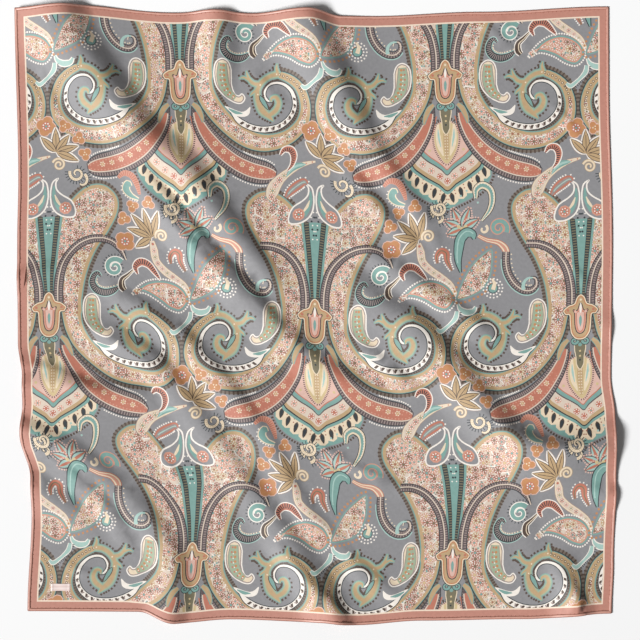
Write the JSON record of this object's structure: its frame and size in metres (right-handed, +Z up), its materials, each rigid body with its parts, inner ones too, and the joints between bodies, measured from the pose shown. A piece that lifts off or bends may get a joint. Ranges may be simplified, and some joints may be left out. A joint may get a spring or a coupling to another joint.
{
  "type": "silk scarf",
  "caption": "Square silk scarf with an all-over paisley print, plain border and rolled hems, laid flat with soft diagonal ripples.",
  "frame": {"origin": "on the surface the scarf lies on, under the middle of its outline's box", "axes": "+Z up off the surface, +Y to the scarf's top edge, +X to its right edge, as seen from above"},
  "size_m": [0.8895, 0.9171, 0.0264],
  "materials": {
    "printed_silk": "silk satin with a printed paisley pattern",
    "border_silk": "silk satin, plain terracotta",
    "label_satin": "woven satin, bare"
  },
  "bodies": {
    "root": {"panel": "printed_silk", "hem_top": "border_silk", "hem_bottom": "border_silk", "hem_left": "border_silk", "hem_right": "border_silk", "label": "label_satin"}
  },
  "joints": []
}
